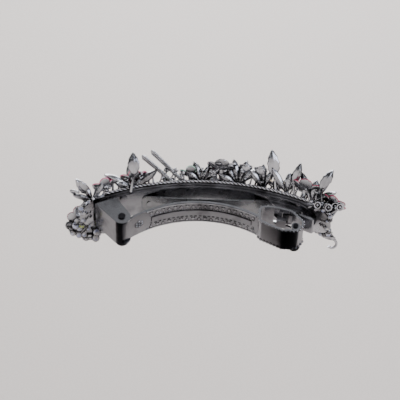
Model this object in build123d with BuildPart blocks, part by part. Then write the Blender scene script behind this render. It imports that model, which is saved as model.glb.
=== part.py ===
from build123d import *
import math
import os

# A decorated barrette, standing closed on its hinge bracket and its clasp cage.
# X runs along the clip with the hinge at -X, Y runs across it and Z points up, towards the flowers.
# The origin is on the floor under the middle of the clip. All sizes are in millimetres.

# Base plate: a strip bent to one arc, with round ends.
arch_radius = 80.0
arch_crown = 16.4
plate_length = 72.0
plate_width = 11.0
plate_thick = 1.0

# Cast garland frame on top of the plate.
frame_length = 82.0
frame_width = 13.0
frame_thick = 1.0
rope_radius = 0.55
rope_reach = 33.0

# Clamp bar: a tighter arc below the plate.
bar_radius = 36.5
bar_crown = 10.5
bar_centre_x = -1.5
bar_width = 9.6
bar_thick = 0.8
bar_end_x = 17.2
rib_width = 2.4
rib_height = 0.35
rib_start_x = -17.5
rib_end_x = 14.8

# Hinge at the -X end.
hinge_z = 2.9
barrel_radius = 2.1
hinge_pin_radius = 0.8
hinge_head_radius = 2.3
hinge_head_thick = 1.8
peen_thick = 0.4
running_gap = 0.05
ear_inner_y = 5.0
ear_thick = 0.6
bracket_wall = 0.5
pad_thick = 0.6

# Clasp cage at the +X end.
cage_thick = 0.7
cage_corner = 2.2
cage_pin_x = 29.2
cage_pin_z = 2.1
cage_pin_radius = 0.6
cage_curl_radius = 1.45
cage_head_radius = 2.0
cage_head_thick = 1.6

# Release lever and its bracket.
lever_x = 26.0
lever_z = 10.2
lever_pin_radius = 0.5
lever_hub_radius = 1.0
lever_half_width = 1.9
catch_ear_y = 2.4
catch_ear_thick = 0.5

# Tension strip.
strip_length = 42.0
strip_width = 7.0
strip_thick = 0.4
strip_radius = 400.0
strip_low_z = 12.9

# Rivets.
rivet_radius = 0.7
rivet_head_radius = 1.2
rivet_head_thick = 0.4

# Cast flowers and stones.
petal_thick = 0.7
post_radius = 0.8
setting_radius = 1.7
bezel_height = 1.0
stone_height = 0.8
rose_radius = 2.3
rose_height = 2.8
stem_radius = 0.45
stem_sink = 0.3

arch_centre_z = arch_crown - arch_radius
plate_top_radius = arch_radius + plate_thick
frame_radius = plate_top_radius + frame_thick
bar_centre_z = bar_crown - bar_radius
hinge_lean = math.acos((hinge_z - bar_centre_z) / (bar_radius + barrel_radius))
hinge_x = bar_centre_x - (bar_radius + barrel_radius) * math.sin(hinge_lean)
barrel_touch_x = bar_centre_x - bar_radius * math.sin(hinge_lean)
tall = 60.0


def arch_height(x, radius):
    """Height of an arc about the arch's centre, at x."""
    return arch_centre_z + math.sqrt(radius**2 - x**2)


def arch_spot(x, y, radius=arch_radius):
    """A place on the arch with its own Z square to it."""
    return Location((x, y, arch_height(x, radius)), (0, math.degrees(math.asin(x / radius)), 0))


def perch(x, y, rise, lean_x, lean_y):
    """A plane above the garland frame that faces up and out for a flower."""
    return Plane(
        origin=(x, y, arch_height(x, frame_radius) + rise),
        x_dir=(1, 0, -lean_x),
        z_dir=(lean_x, lean_y, 1),
    )


def save(piece, name):
    """Label a finished piece and write it."""
    piece.part.label = name
    export_step(piece.part, f"parts/{name}.step")


def save_turned(piece, name):
    """Write the same casting again, turned half round for the other side of the garland."""
    with BuildPart() as turned:
        add(piece.part.rotate(Axis.Z, 180))
    save(turned, name)


def keep_arch(inner_radius, outer_radius):
    """Cut the part in progress down to the stretch between two arcs of the arch."""
    with Locations((0, 0, arch_centre_z)):
        Cylinder(outer_radius, tall, rotation=(90, 0, 0), mode=Mode.INTERSECT)
        Cylinder(inner_radius, tall, rotation=(90, 0, 0), mode=Mode.SUBTRACT)


# ---------------------------------------------------------------- rivets

def rivet_row(spots, head_depth, shank_top, upper_head):
    """Rivets square to the arch: a lower head, a shank and, where it shows, an upper head."""
    with BuildPart() as rivets:
        with Locations(*[arch_spot(x, y) for x, y in spots]):
            with Locations((0, 0, -head_depth)):
                Cylinder(rivet_radius, head_depth + shank_top, align=(Align.CENTER, Align.CENTER, Align.MIN))
                Cylinder(rivet_head_radius, rivet_head_thick, align=(Align.CENTER, Align.CENTER, Align.MAX))
            if upper_head:
                with Locations((0, 0, shank_top)):
                    Cylinder(rivet_head_radius, rivet_head_thick, align=(Align.CENTER, Align.CENTER, Align.MIN))
    return rivets


hinge_rivets = rivet_row([(-34.0, -2.6), (-34.0, 2.6)], pad_thick, plate_thick, False)
catch_rivets = rivet_row([(23.2, 0.0), (29.8, 0.0)], catch_ear_thick, plate_thick, False)
strip_rivets = rivet_row([(-18.5, 0.0), (18.5, 0.0)], pad_thick, plate_thick, False)
garland_rivets = rivet_row(
    [(-27.0, -4.2), (27.0, 4.2), (-5.0, -4.2), (5.0, 4.2)], 0.0, plate_thick + frame_thick, True
)

# ---------------------------------------------------------------- base plate

with BuildPart() as base_plate:
    with BuildSketch():
        SlotOverall(plate_length, plate_width)
    extrude(amount=tall)
    keep_arch(arch_radius, plate_top_radius)
    add(hinge_rivets.part, mode=Mode.SUBTRACT)
    add(catch_rivets.part, mode=Mode.SUBTRACT)
    add(strip_rivets.part, mode=Mode.SUBTRACT)
    add(garland_rivets.part, mode=Mode.SUBTRACT)

# ---------------------------------------------------------------- hinge bracket and pin


def bracket_outline():
    """Side outline of the hinge bracket, from the plate down round the pin."""
    with Locations((hinge_x, hinge_z)):
        Circle(hinge_z)
    with Locations((-35.4, 8.4)):
        Circle(0.8)
    with Locations((-30.4, 11.0)):
        Circle(0.8)
    make_hull()


with BuildPart() as hinge_bracket:
    with BuildSketch(Plane.XZ) as outer:
        bracket_outline()
    extrude(amount=ear_inner_y + ear_thick, both=True)
    with Locations((0, 0, arch_centre_z)):
        Cylinder(arch_radius, tall, rotation=(90, 0, 0), mode=Mode.INTERSECT)
    # The channel between the two ears is open towards the bar and keeps a pad under the plate.
    with BuildPart(mode=Mode.PRIVATE) as channel:
        with BuildSketch(Plane.XZ.move(Location((bracket_wall, 0, 0)))):
            bracket_outline()
        extrude(amount=ear_inner_y, both=True)
        with Locations((0, 0, arch_centre_z)):
            Cylinder(arch_radius - pad_thick, tall, rotation=(90, 0, 0), mode=Mode.INTERSECT)
    add(channel.part, mode=Mode.SUBTRACT)
    with Locations((hinge_x, 0, hinge_z)):
        Cylinder(hinge_pin_radius + running_gap, tall, rotation=(90, 0, 0), mode=Mode.SUBTRACT)
    add(hinge_rivets.part, mode=Mode.SUBTRACT)


def cross_pin(x, z, radius, reach, head_radius, head_thick):
    """A pin across the clip: a domed head on the +Y side, a peened end on the -Y side."""
    with BuildPart(Plane(origin=(x, 0, z), z_dir=(0, 1, 0))) as pin:
        Cylinder(radius, 2 * reach)
        with Locations((0, 0, reach)):
            Cylinder(head_radius, head_thick, align=(Align.CENTER, Align.CENTER, Align.MIN))
        fillet(pin.faces().sort_by(Axis.Y)[-1].edges(), 0.5 * head_thick)
        with Locations((0, 0, -reach)):
            Cylinder(1.4 * radius, peen_thick, align=(Align.CENTER, Align.CENTER, Align.MAX))
    return pin


hinge_pin = cross_pin(
    hinge_x, hinge_z, hinge_pin_radius, ear_inner_y + ear_thick + running_gap, hinge_head_radius, hinge_head_thick
)

# ---------------------------------------------------------------- clamp bar


def bar_section(outer, inner, start_x, end_x):
    """Side section of a stretch of the bar's arc."""
    with Locations((bar_centre_x, bar_centre_z)):
        Circle(outer)
        Circle(inner, mode=Mode.SUBTRACT)
    with Locations(((start_x + end_x) / 2, tall / 2)):
        Rectangle(end_x - start_x, tall, mode=Mode.INTERSECT)


with BuildPart() as clamp_bar:
    with BuildSketch(Plane.XZ):
        bar_section(bar_radius + bar_thick, bar_radius, barrel_touch_x, bar_end_x)
    extrude(amount=bar_width / 2, both=True)
    # Smooth rib along the middle of the outer face.
    with BuildSketch(Plane.XZ):
        bar_section(bar_radius + 0.1, bar_radius - rib_height, rib_start_x, rib_end_x)
    extrude(amount=rib_width / 2, both=True)
    # Rolled end round the hinge pin.
    with BuildSketch(Plane.XZ):
        with Locations((hinge_x, hinge_z)):
            Circle(barrel_radius)
    extrude(amount=bar_width / 2, both=True)
    with Locations((hinge_x, 0, hinge_z)):
        Cylinder(hinge_pin_radius + running_gap, tall, rotation=(90, 0, 0), mode=Mode.SUBTRACT)

# ---------------------------------------------------------------- clasp cage and its pin

with BuildPart() as clasp_cage:
    with BuildSketch(Plane.XZ) as cage_side:
        Polygon(
            (bar_end_x, 3.9),
            (25.0, 0.0),
            (29.8, 0.0),
            (32.6, 3.6),
            (28.2, 8.7),
            (22.6, 10.3),
            (bar_end_x, 10.3),
            align=None,
        )
        fillet(cage_side.vertices(), cage_corner)
        offset(amount=-cage_thick, mode=Mode.SUBTRACT)
        with Locations((cage_pin_x, cage_pin_z)):
            Circle(cage_curl_radius)
    extrude(amount=bar_width / 2, both=True)
    # Slot in the top band that passes over the catch.
    with Locations((25.6, 0, 10.0)):
        Box(6.4, 6.6, 5.0, mode=Mode.SUBTRACT)
    with Locations((cage_pin_x, 0, cage_pin_z)):
        Cylinder(cage_pin_radius + running_gap, tall, rotation=(90, 0, 0), mode=Mode.SUBTRACT)

cage_pin = cross_pin(
    cage_pin_x, cage_pin_z, cage_pin_radius, bar_width / 2 + running_gap, cage_head_radius, cage_head_thick
)

# ---------------------------------------------------------------- catch bracket, lever, pin, spring


def catch_outline():
    """Side outline of the catch bracket."""
    with Locations((lever_x, lever_z)):
        Circle(1.2)
    with Locations((22.2, 13.2), (31.2, 10.2)):
        Circle(0.6)
    make_hull()


with BuildPart() as catch_bracket:
    with BuildSketch(Plane.XZ):
        catch_outline()
    extrude(amount=catch_ear_y + catch_ear_thick, both=True)
    with Locations((0, 0, arch_centre_z)):
        Cylinder(arch_radius, tall, rotation=(90, 0, 0), mode=Mode.INTERSECT)
    with BuildPart(mode=Mode.PRIVATE) as throat:
        with Locations((lever_x, 0, lever_z)):
            Box(tall, 2 * catch_ear_y, 8.0)
        with Locations((0, 0, arch_centre_z)):
            Cylinder(arch_radius - catch_ear_thick, tall, rotation=(90, 0, 0), mode=Mode.INTERSECT)
    add(throat.part, mode=Mode.SUBTRACT)
    with Locations((lever_x, 0, lever_z)):
        Cylinder(lever_pin_radius + running_gap, tall, rotation=(90, 0, 0), mode=Mode.SUBTRACT)
    add(catch_rivets.part, mode=Mode.SUBTRACT)

with BuildPart() as lever_pin:
    with Locations((lever_x, 0, lever_z)):
        Cylinder(lever_pin_radius, 2 * (catch_ear_y + catch_ear_thick) + 0.5, rotation=(90, 0, 0))

with BuildPart() as release_lever:
    with BuildSketch(Plane.XZ):
        with BuildLine():
            Polyline(
                (lever_x, lever_z + 0.9),
                (lever_x + 4.0, 8.9),
                (35.0, 6.7),
                (35.3, 6.1),
                (34.8, 5.8),
                (lever_x + 4.0, 8.1),
                (26.7, 9.0),
                (26.2, 6.4),
                (23.1, 6.4),
                (23.1, 7.3),
                (25.0, 7.5),
                (25.2, 9.8),
                (lever_x, lever_z + 0.9),
            )
        make_face()
        with Locations((lever_x, lever_z)):
            Circle(lever_hub_radius)
    extrude(amount=lever_half_width, both=True)
    # The free end widens into a rounded thumb pad.
    with BuildSketch(Plane.XZ):
        Polygon((30.4, 8.7), (35.0, 6.7), (35.3, 6.1), (34.8, 5.8), (30.4, 7.9), align=None)
    extrude(amount=3.4, both=True)
    with Locations((lever_x, 0, lever_z)):
        Cylinder(lever_pin_radius + running_gap, tall, rotation=(90, 0, 0), mode=Mode.SUBTRACT)
    # Room on the pin for the spring.
    with Locations((lever_x, 1.65, lever_z)):
        Box(2.6, 1.5, 2.6, mode=Mode.SUBTRACT)

with BuildPart() as lever_spring:
    with BuildLine() as coil:
        Helix(pitch=0.38, height=0.95, radius=0.78, center=(lever_x, 1.15, lever_z), direction=(0, 1, 0))
    with BuildSketch(Plane(origin=coil.line @ 0, z_dir=coil.line % 0)):
        Circle(0.15)
    sweep(path=coil.line)

# ---------------------------------------------------------------- tension strip

with BuildPart() as tension_strip:
    with BuildSketch():
        RectangleRounded(strip_length, strip_width, 2.0)
    extrude(amount=tall)
    with Locations((0, 0, strip_low_z + strip_radius)):
        Cylinder(strip_radius, tall, rotation=(90, 0, 0), mode=Mode.INTERSECT)
        Cylinder(strip_radius - strip_thick, tall, rotation=(90, 0, 0), mode=Mode.SUBTRACT)
    with Locations((0, 0, arch_centre_z)):
        Cylinder(arch_radius, tall, rotation=(90, 0, 0), mode=Mode.INTERSECT)
    add(strip_rivets.part, mode=Mode.SUBTRACT)

# ---------------------------------------------------------------- garland frame and rope edges

with BuildPart() as garland_frame:
    with BuildSketch():
        SlotOverall(frame_length, frame_width)
        with GridLocations(9.0, 0.0, 8, 1):
            SlotOverall(6.0, 2.4, mode=Mode.SUBTRACT)
    extrude(amount=tall)
    keep_arch(plate_top_radius, frame_radius)
    add(garland_rivets.part, mode=Mode.SUBTRACT)


def rope_edge(side):
    """A round edge along one long side of the frame."""
    edge_y = side * (frame_width / 2 + rope_radius)
    half_angle = math.degrees(math.asin(rope_reach / frame_radius))
    with BuildPart() as rope:
        with BuildLine(Plane.XZ.offset(-edge_y)) as path:
            CenterArc((0, arch_centre_z), frame_radius - frame_thick / 2, 90 - half_angle, 2 * half_angle)
        with BuildSketch(Plane(origin=path.line @ 0, z_dir=path.line % 0)):
            Circle(rope_radius)
        sweep(path=path.line)
    return rope


rope_edge_front = rope_edge(-1)
rope_edge_back = rope_edge(1)

# ---------------------------------------------------------------- castings of the garland
# Each is made for the -Y side and written a second time turned half round about Z.


def clear_of_frame():
    """Cut the part in progress where it would enter the frame or its rope edges."""
    add(garland_frame.part, mode=Mode.SUBTRACT)
    add(rope_edge_front.part, mode=Mode.SUBTRACT)


def blossom(place, rise, count, length, width, cup, start=0.0):
    """A flower: cupped oval petals round a stone setting, on a post down to the frame."""
    with BuildPart() as flower:
        with BuildSketch(place.offset(-petal_thick - 0.2)):
            with PolarLocations(length / 2, count, start_angle=start):
                Ellipse(length / 2, width / 2)
            Circle(1.2)
        extrude(amount=length)
        with Locations(place.offset(cup)):
            Sphere(cup + petal_thick, mode=Mode.INTERSECT)
            Sphere(cup, mode=Mode.SUBTRACT)
        with BuildSketch(place.offset(-petal_thick / 2)):
            Circle(setting_radius)
        extrude(amount=petal_thick / 2 + bezel_height)
        with BuildSketch(place.offset(-petal_thick / 2)):
            Circle(post_radius)
        extrude(amount=-(rise + 0.2))
        clear_of_frame()
    with BuildPart() as whole:
        add(flower.part.solids().sort_by(SortBy.VOLUME)[-1])
    return whole


def stone(place, radius, lift=bezel_height):
    """A faceted flat-backed stone that sits on its setting."""
    with BuildPart() as gem:
        with BuildSketch(place.offset(lift)):
            RegularPolygon(radius, 8)
        extrude(amount=0.3 * stone_height)
        with BuildSketch(place.offset(lift + 0.3 * stone_height)):
            RegularPolygon(radius, 8)
        extrude(amount=0.7 * stone_height, taper=38)
    return gem


# Name, x, y, rise above the frame, lean along X, lean along Y, petals, length, width, cup radius.
blossoms = {
    "end_flower": (41.4, -5.8, 3.4, 0.55, -0.35, 6, 4.6, 3.6, 6.5),
    "large_flower": (32.2, -7.6, 3.2, 0.30, -0.30, 5, 5.4, 4.6, 7.5),
    "leafy_flower": (22.8, -6.4, 2.4, 0.24, -0.28, 6, 4.0, 2.8, 6.2),
    "openwork_flower": (4.8, -8.4, 3.6, 0.05, -0.30, 5, 5.4, 4.8, 8.0),
    "bud_flower": (-5.4, -7.0, 2.6, -0.05, -0.25, 4, 3.8, 3.2, 5.0),
    "pink_flower_inner": (-23.8, -6.8, 2.6, -0.25, -0.25, 5, 5.0, 4.0, 7.0),
    "pink_flower_outer": (-33.2, -6.6, 2.6, -0.40, -0.25, 5, 4.4, 3.6, 6.0),
}

front_stones = []
for name, (x, y, rise, lean_x, lean_y, count, length, width, cup) in blossoms.items():
    place = perch(x, y, rise, lean_x, lean_y)
    flower = blossom(place, rise, count, length, width, cup, start=-90)
    save(flower, f"{name}_front")
    save_turned(flower, f"{name}_back")
    front_stones.append(stone(place, setting_radius - 0.25))

with BuildPart() as flower_stones:
    for gem in front_stones:
        add(gem.part)
save(flower_stones, "flower_stones_front")
save_turned(flower_stones, "flower_stones_back")


def rose(place, rise):
    """A small closed rose: a tapered bud on a post."""
    with BuildPart() as bud:
        with BuildSketch(place):
            Circle(rose_radius * 0.62)
        with BuildSketch(place.offset(rose_height * 0.6)):
            Circle(rose_radius)
        loft()
        with BuildSketch(place.offset(rose_height * 0.6)):
            Circle(rose_radius)
        extrude(amount=rose_height * 0.4, taper=25)
        with BuildSketch(place):
            Circle(post_radius)
        extrude(amount=-(rise + 0.3))
        clear_of_frame()
    return bud


for name, x, y, rise in (("rose_inner", 12.4, -7.6, 4.2), ("rose_outer", 17.3, -8.2, 3.6)):
    bud = rose(perch(x, y, rise, 0.1, -0.35), rise)
    save(bud, f"{name}_front")
    save_turned(bud, f"{name}_back")

with BuildPart() as florets:
    for x in (-18.6, -15.2, -11.8):
        place = perch(x, -5.6, 1.6, 0.0, -0.3)
        with BuildSketch(place):
            with PolarLocations(1.0, 5):
                Circle(0.85)
        extrude(amount=0.7)
        with BuildSketch(place):
            Circle(post_radius)
        extrude(amount=-1.8)
    clear_of_frame()
save(florets, "florets_front")
save_turned(florets, "florets_back")

# Leaves, each with the place on the frame where its stem stands, its foot, its tip and its width.
leaves = {
    "tall_leaf": ((25.6, -5.8), (22.8, -9.8, 19.2), (22.2, -15.0, 25.4), 4.0),
    "side_leaf": ((28.6, -5.8), (28.2, -9.0, 18.6), (30.4, -13.6, 21.4), 2.6),
    "veined_leaf": ((-28.6, -5.8), (-24.2, -11.8, 18.2), (-24.8, -15.2, 22.0), 3.6),
    "left_leaf": ((-37.0, -4.6), (-38.4, -7.4, 10.6), (-42.6, -12.0, 12.4), 3.0),
    "right_leaf": ((37.0, -4.8), (36.8, -11.6, 16.0), (41.2, -14.6, 18.2), 3.0),
}


def leaf(spot, foot, tip, width):
    """A pointed, slightly cupped leaf on a straight stem from the frame."""
    root = Vector(spot[0], spot[1], arch_height(spot[0], frame_radius) - stem_sink)
    stem = Vector(*foot) - root
    run = Vector(*tip) - Vector(*foot)
    side = Vector(0, 0, 1).cross(run)
    place = Plane(origin=foot, x_dir=run, z_dir=run.cross(side))
    half = run.length / 2
    cup = run.length
    with BuildPart() as blade:
        with BuildSketch(place.offset(-2 * petal_thick)):
            with BuildLine():
                ThreePointArc((0, 0), (half, width / 2), (2 * half, 0))
                ThreePointArc((2 * half, 0), (half, -width / 2), (0, 0))
            make_face()
        extrude(amount=cup)
        with Locations(place * Location((half, 0, cup))):
            Sphere(cup + petal_thick * 0.8, mode=Mode.INTERSECT)
            Sphere(cup, mode=Mode.SUBTRACT)
        with BuildSketch(Plane(origin=root, z_dir=stem)):
            Circle(stem_radius)
        extrude(amount=stem.length + stem_radius)
        clear_of_frame()
    return blade


for name, (spot, foot, tip, width) in leaves.items():
    blade = leaf(spot, foot, tip, width)
    save(blade, f"{name}_front")
    save_turned(blade, f"{name}_back")


def rod(start, end, start_radius, end_radius):
    """A straight tapered rod."""
    run = Vector(*end) - Vector(*start)
    with BuildPart() as bar:
        with BuildSketch(Plane(origin=start, z_dir=run)):
            Circle(start_radius)
        with BuildSketch(Plane(origin=end, z_dir=run)):
            Circle(end_radius)
        loft()
        clear_of_frame()
    return bar


# Two long feather sprays that fan out to the -X side over the florets.
sprays = {
    "long_spray": ((-7.0, -6.0, 18.0), (-18.6, -14.2, 23.6)),
    "short_spray": ((-10.2, -6.0, 17.7), (-21.6, -13.0, 22.2)),
}
for name, (start, end) in sprays.items():
    spray = rod(start, end, 0.55, 0.8)
    save(spray, f"{name}_front")
    save_turned(spray, f"{name}_back")

# A wire tendril that curls beyond the end of the frame.
with BuildPart() as tendril:
    with BuildLine() as wire:
        stem = ThreePointArc((-38.4, -4.6, 9.2), (-41.6, -7.6, 9.2), (-43.6, -10.6, 8.4))
        TangentArc((-43.6, -10.6, 8.4), (-41.2, -11.6, 7.4), tangent=stem % 1)
    with BuildSketch(Plane(origin=wire.line @ 0, z_dir=wire.line % 0)):
        Circle(stem_radius)
    sweep(path=wire.line)
    clear_of_frame()
save(tendril, "tendril_front")
save_turned(tendril, "tendril_back")

# ---------------------------------------------------------------- spine of the garland

centre_rise = 5.0
centre_place = perch(0, 0, centre_rise, 0, 0)
centre_flower = blossom(centre_place, centre_rise, 8, 4.8, 3.2, 8.0)
save(centre_flower, "centre_flower")
centre_stone = stone(centre_place, setting_radius - 0.1)
save(centre_stone, "centre_stone")

spine_x = (9.2, 14.8, 21.0, 28.2, 36.4)
spine_rise = 2.6
spine_places = [perch(side * x, 0, spine_rise, side * x / frame_radius, 0) for side in (-1, 1) for x in spine_x]

with BuildPart() as spine_settings:
    for place in spine_places:
        with BuildSketch(place):
            Circle(setting_radius)
        extrude(amount=bezel_height)
        with BuildSketch(place):
            Circle(post_radius)
        extrude(amount=-(spine_rise + 0.2))
    clear_of_frame()
save(spine_settings, "spine_settings")

with BuildPart() as spine_stones:
    for place in spine_places:
        add(stone(place, setting_radius - 0.25).part)
save(spine_stones, "spine_stones")

# ---------------------------------------------------------------- write the mechanism

mechanism = {
    "base_plate": base_plate,
    "hinge_bracket": hinge_bracket,
    "hinge_bracket_rivets": hinge_rivets,
    "hinge_pin": hinge_pin,
    "clamp_bar": clamp_bar,
    "clasp_cage": clasp_cage,
    "cage_pin": cage_pin,
    "catch_bracket": catch_bracket,
    "catch_bracket_rivets": catch_rivets,
    "release_lever": release_lever,
    "lever_pin": lever_pin,
    "lever_spring": lever_spring,
    "tension_strip": tension_strip,
    "tension_strip_rivets": strip_rivets,
    "garland_frame": garland_frame,
    "garland_rivets": garland_rivets,
    "rope_edge_front": rope_edge_front,
    "rope_edge_back": rope_edge_back,
}
for name, piece in mechanism.items():
    save(piece, name)
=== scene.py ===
import math
import random

import bpy
from bpy.props import FloatProperty, FloatVectorProperty, IntProperty, PointerProperty
from mathutils import Matrix, Vector
from mathutils.bvhtree import BVHTree


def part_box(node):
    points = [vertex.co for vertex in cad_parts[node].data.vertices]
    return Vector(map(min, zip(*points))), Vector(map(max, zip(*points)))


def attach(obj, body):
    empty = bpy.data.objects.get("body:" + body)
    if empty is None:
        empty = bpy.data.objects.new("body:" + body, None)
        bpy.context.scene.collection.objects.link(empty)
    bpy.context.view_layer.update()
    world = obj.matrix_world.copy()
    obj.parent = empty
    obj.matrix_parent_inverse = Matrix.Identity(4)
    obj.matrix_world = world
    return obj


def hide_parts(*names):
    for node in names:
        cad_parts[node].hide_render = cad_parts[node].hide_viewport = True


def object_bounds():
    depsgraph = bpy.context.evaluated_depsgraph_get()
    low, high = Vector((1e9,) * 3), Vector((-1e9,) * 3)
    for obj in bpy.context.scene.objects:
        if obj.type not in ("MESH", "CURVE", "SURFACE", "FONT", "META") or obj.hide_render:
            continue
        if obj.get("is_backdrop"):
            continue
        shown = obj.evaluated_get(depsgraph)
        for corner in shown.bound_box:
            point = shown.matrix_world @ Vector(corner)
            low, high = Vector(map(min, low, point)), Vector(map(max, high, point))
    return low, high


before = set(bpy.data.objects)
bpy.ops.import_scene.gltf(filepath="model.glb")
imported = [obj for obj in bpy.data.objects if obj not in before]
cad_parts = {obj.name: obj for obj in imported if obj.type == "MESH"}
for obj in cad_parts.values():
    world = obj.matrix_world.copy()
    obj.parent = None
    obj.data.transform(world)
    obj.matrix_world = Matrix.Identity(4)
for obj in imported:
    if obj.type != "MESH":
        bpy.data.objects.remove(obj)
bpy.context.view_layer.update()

bl_info = {
    "name": "Rhinestone hair clip",
    "version": (1, 0, 0),
    "blender": (4, 5, 0),
    "location": "View3D > Sidebar > Hair clip",
    "description": "Dresses the packed clip with cast flowers, beading, enamel and stones",
    "category": "Object",
}

MM = 0.001
X, Y, Z = Vector((1, 0, 0)), Vector((0, 1, 0)), Vector((0, 0, 1))
SIDES = {"front": -1, "back": 1}
FLOWERS = {
    # node stem: petals, length, width, cup radius, enamel on the rim
    "end_flower": (6, 4.6, 3.6, 6.5, "wine_enamel"),
    "large_flower": (5, 5.4, 4.6, 7.5, "wine_enamel"),
    "leafy_flower": (6, 3.5, 2.4, 6.4, "cream_enamel"),
    "openwork_flower": (5, 5.4, 4.8, 8.0, "plated_casting"),
    "bud_flower": (4, 3.8, 3.2, 5.0, "mint_enamel"),
    "pink_flower_inner": (5, 5.0, 4.0, 7.0, "pink_enamel"),
    "pink_flower_outer": (5, 4.4, 3.6, 6.0, "pink_enamel"),
}


def linear(code):
    """sRGB hex to linear RGBA."""
    parts = [int(code[i:i + 2], 16) / 255 for i in (1, 3, 5)]
    return [c / 12.92 if c <= 0.04045 else ((c + 0.055) / 1.055) ** 2.4 for c in parts] + [1.0]


def add_node(tree, kind, inputs=(), **settings):
    """One node with its settings; inputs is a list of (socket, value or output socket)."""
    node = tree.nodes.new(kind)
    for key, value in settings.items():
        setattr(node, key, value)
    for socket, value in inputs:
        if isinstance(value, bpy.types.NodeSocket):
            tree.links.new(value, node.inputs[socket])
        else:
            node.inputs[socket].default_value = value
    return node


def ramp(tree, source, stops):
    """A colour ramp over source; stops is a list of (place, linear colour)."""
    node = add_node(tree, "ShaderNodeValToRGB", [("Fac", source)])
    while len(node.color_ramp.elements) < len(stops):
        node.color_ramp.elements.new(0.5)
    for element, (place, colour) in zip(node.color_ramp.elements, stops):
        element.position, element.color = place, colour
    return node.outputs["Color"]


def grey(value):
    return (value, value, value, 1)


def metal(name, low, high, rough_low, rough_high, grain_mm, bump):
    """A plated metal: painted shade from ambient occlusion darkens the colour in the hollows, mixed with a random broad
    tone; roughness and a fine relief follow the grain.
    """
    made = bpy.data.materials.get(name) or bpy.data.materials.new(name)
    made.use_nodes = True
    tree = made.node_tree
    tree.nodes.clear()
    place = add_node(tree, "ShaderNodeTexCoord").outputs["Object"]
    broad = add_node(tree, "ShaderNodeTexNoise", [("Vector", place), ("Scale", 140.0), ("Detail", 4.0)])
    fine = add_node(tree, "ShaderNodeTexNoise",
                    [("Vector", place), ("Scale", 1000.0 / grain_mm), ("Detail", 3.0)])
    # Painted shade: ambient occlusion darkens the base colour in hollows and between parts.
    hollow_shade = add_node(tree, "ShaderNodeAmbientOcclusion", [("Distance", 1.6 * MM)], samples=6)
    painted_shade_and_tone = add_node(tree, "ShaderNodeMath", [(0, hollow_shade.outputs["AO"]), (1, broad.outputs["Fac"])],
                    operation="MULTIPLY")
    # The base colour runs from dark to bright with the painted shade times the random tone.
    colour = ramp(tree, painted_shade_and_tone.outputs[0], [(0.14, linear(low)), (0.46, linear(high))])
    rough = ramp(tree, broad.outputs["Fac"], [(0.3, grey(rough_low)), (0.7, grey(rough_high))])
    relief = add_node(tree, "ShaderNodeBump",
                      [("Strength", bump), ("Distance", 0.05 * MM), ("Height", fine.outputs["Fac"])])
    shader = add_node(tree, "ShaderNodeBsdfPrincipled",
                      [("Base Color", colour), ("Metallic", 1.0), ("Roughness", rough),
                       ("Normal", relief.outputs[0])])
    add_node(tree, "ShaderNodeOutputMaterial", [("Surface", shader.outputs[0])])
    return made


def enamel(name, deep, pale, rough=0.22):
    """Cold enamel brushed over the casting: its tone varies in soft clouds and it keeps a clear gloss."""
    made = bpy.data.materials.get(name) or bpy.data.materials.new(name)
    made.use_nodes = True
    tree = made.node_tree
    tree.nodes.clear()
    place = add_node(tree, "ShaderNodeTexCoord").outputs["Object"]
    cloud = add_node(tree, "ShaderNodeTexNoise", [("Vector", place), ("Scale", 420.0), ("Detail", 5.0)])
    colour = ramp(tree, cloud.outputs["Fac"], [(0.3, linear(deep)), (0.68, linear(pale))])
    relief = add_node(tree, "ShaderNodeBump",
                      [("Strength", 0.25), ("Distance", 0.08 * MM), ("Height", cloud.outputs["Fac"])])
    shader = add_node(tree, "ShaderNodeBsdfPrincipled",
                      [("Base Color", colour), ("Roughness", rough), ("Coat Weight", 0.6),
                       ("Coat Roughness", 0.08), ("Normal", relief.outputs[0])])
    add_node(tree, "ShaderNodeOutputMaterial", [("Surface", shader.outputs[0])])
    return made


def crystal(name, tint):
    """Foil-backed pressed glass: clear, strongly bending, with fire from its flat facets."""
    made = bpy.data.materials.get(name) or bpy.data.materials.new(name)
    made.use_nodes = True
    tree = made.node_tree
    tree.nodes.clear()
    place = add_node(tree, "ShaderNodeTexCoord").outputs["Object"]
    cloud = add_node(tree, "ShaderNodeTexNoise", [("Vector", place), ("Scale", 900.0), ("Detail", 1.0)])
    colour = ramp(tree, cloud.outputs["Fac"], [(0.35, linear(tint)), (0.65, linear("#ffffff"))])
    shader = add_node(tree, "ShaderNodeBsdfPrincipled",
                      [("Base Color", colour), ("Roughness", 0.03), ("IOR", 1.58),
                       ("Transmission Weight", 0.45), ("Metallic", 0.35)])
    add_node(tree, "ShaderNodeOutputMaterial", [("Surface", shader.outputs[0])])
    return made


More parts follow.
